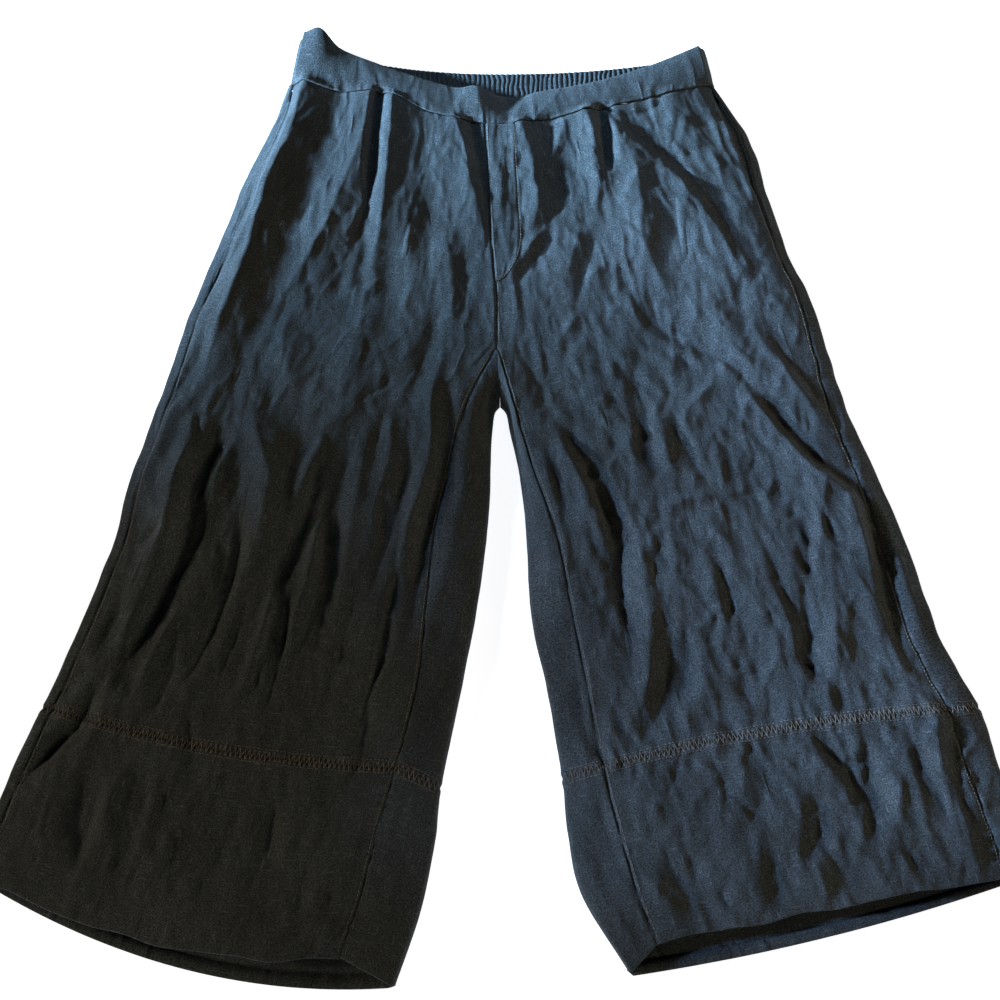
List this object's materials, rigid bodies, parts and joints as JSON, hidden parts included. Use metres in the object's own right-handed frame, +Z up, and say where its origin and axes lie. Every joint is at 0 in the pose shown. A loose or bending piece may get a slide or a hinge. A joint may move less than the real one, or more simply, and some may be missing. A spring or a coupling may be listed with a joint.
{
  "type": "capri pants",
  "caption": "Wide-leg cropped trousers lying flat, with a faced front waistband, a gathered elastic back waist, front pleats, side pockets and deep stitched hem bands.",
  "frame": {"origin": "on the floor, under the middle of the garment's bounding box", "axes": "+Y from the hems to the waist, +X toward the wearer's left leg, +Z up out of the front"},
  "size_m": [0.892, 0.9646, 0.029],
  "materials": {
    "linen": "dark navy-grey linen in a plain weave, matt, soft and creased"
  },
  "bodies": {
    "root": {"front_right": "linen", "front_left": "linen", "back_right": "linen", "back_left": "linen", "waistband_front": "linen", "waistband_back": "linen", "hem_band_right_front": "linen", "hem_band_left_front": "linen", "hem_band_right_back": "linen", "hem_band_left_back": "linen", "mock_fly": "linen", "pocket_facing_right": "linen", "pocket_facing_left": "linen"}
  },
  "joints": []
}
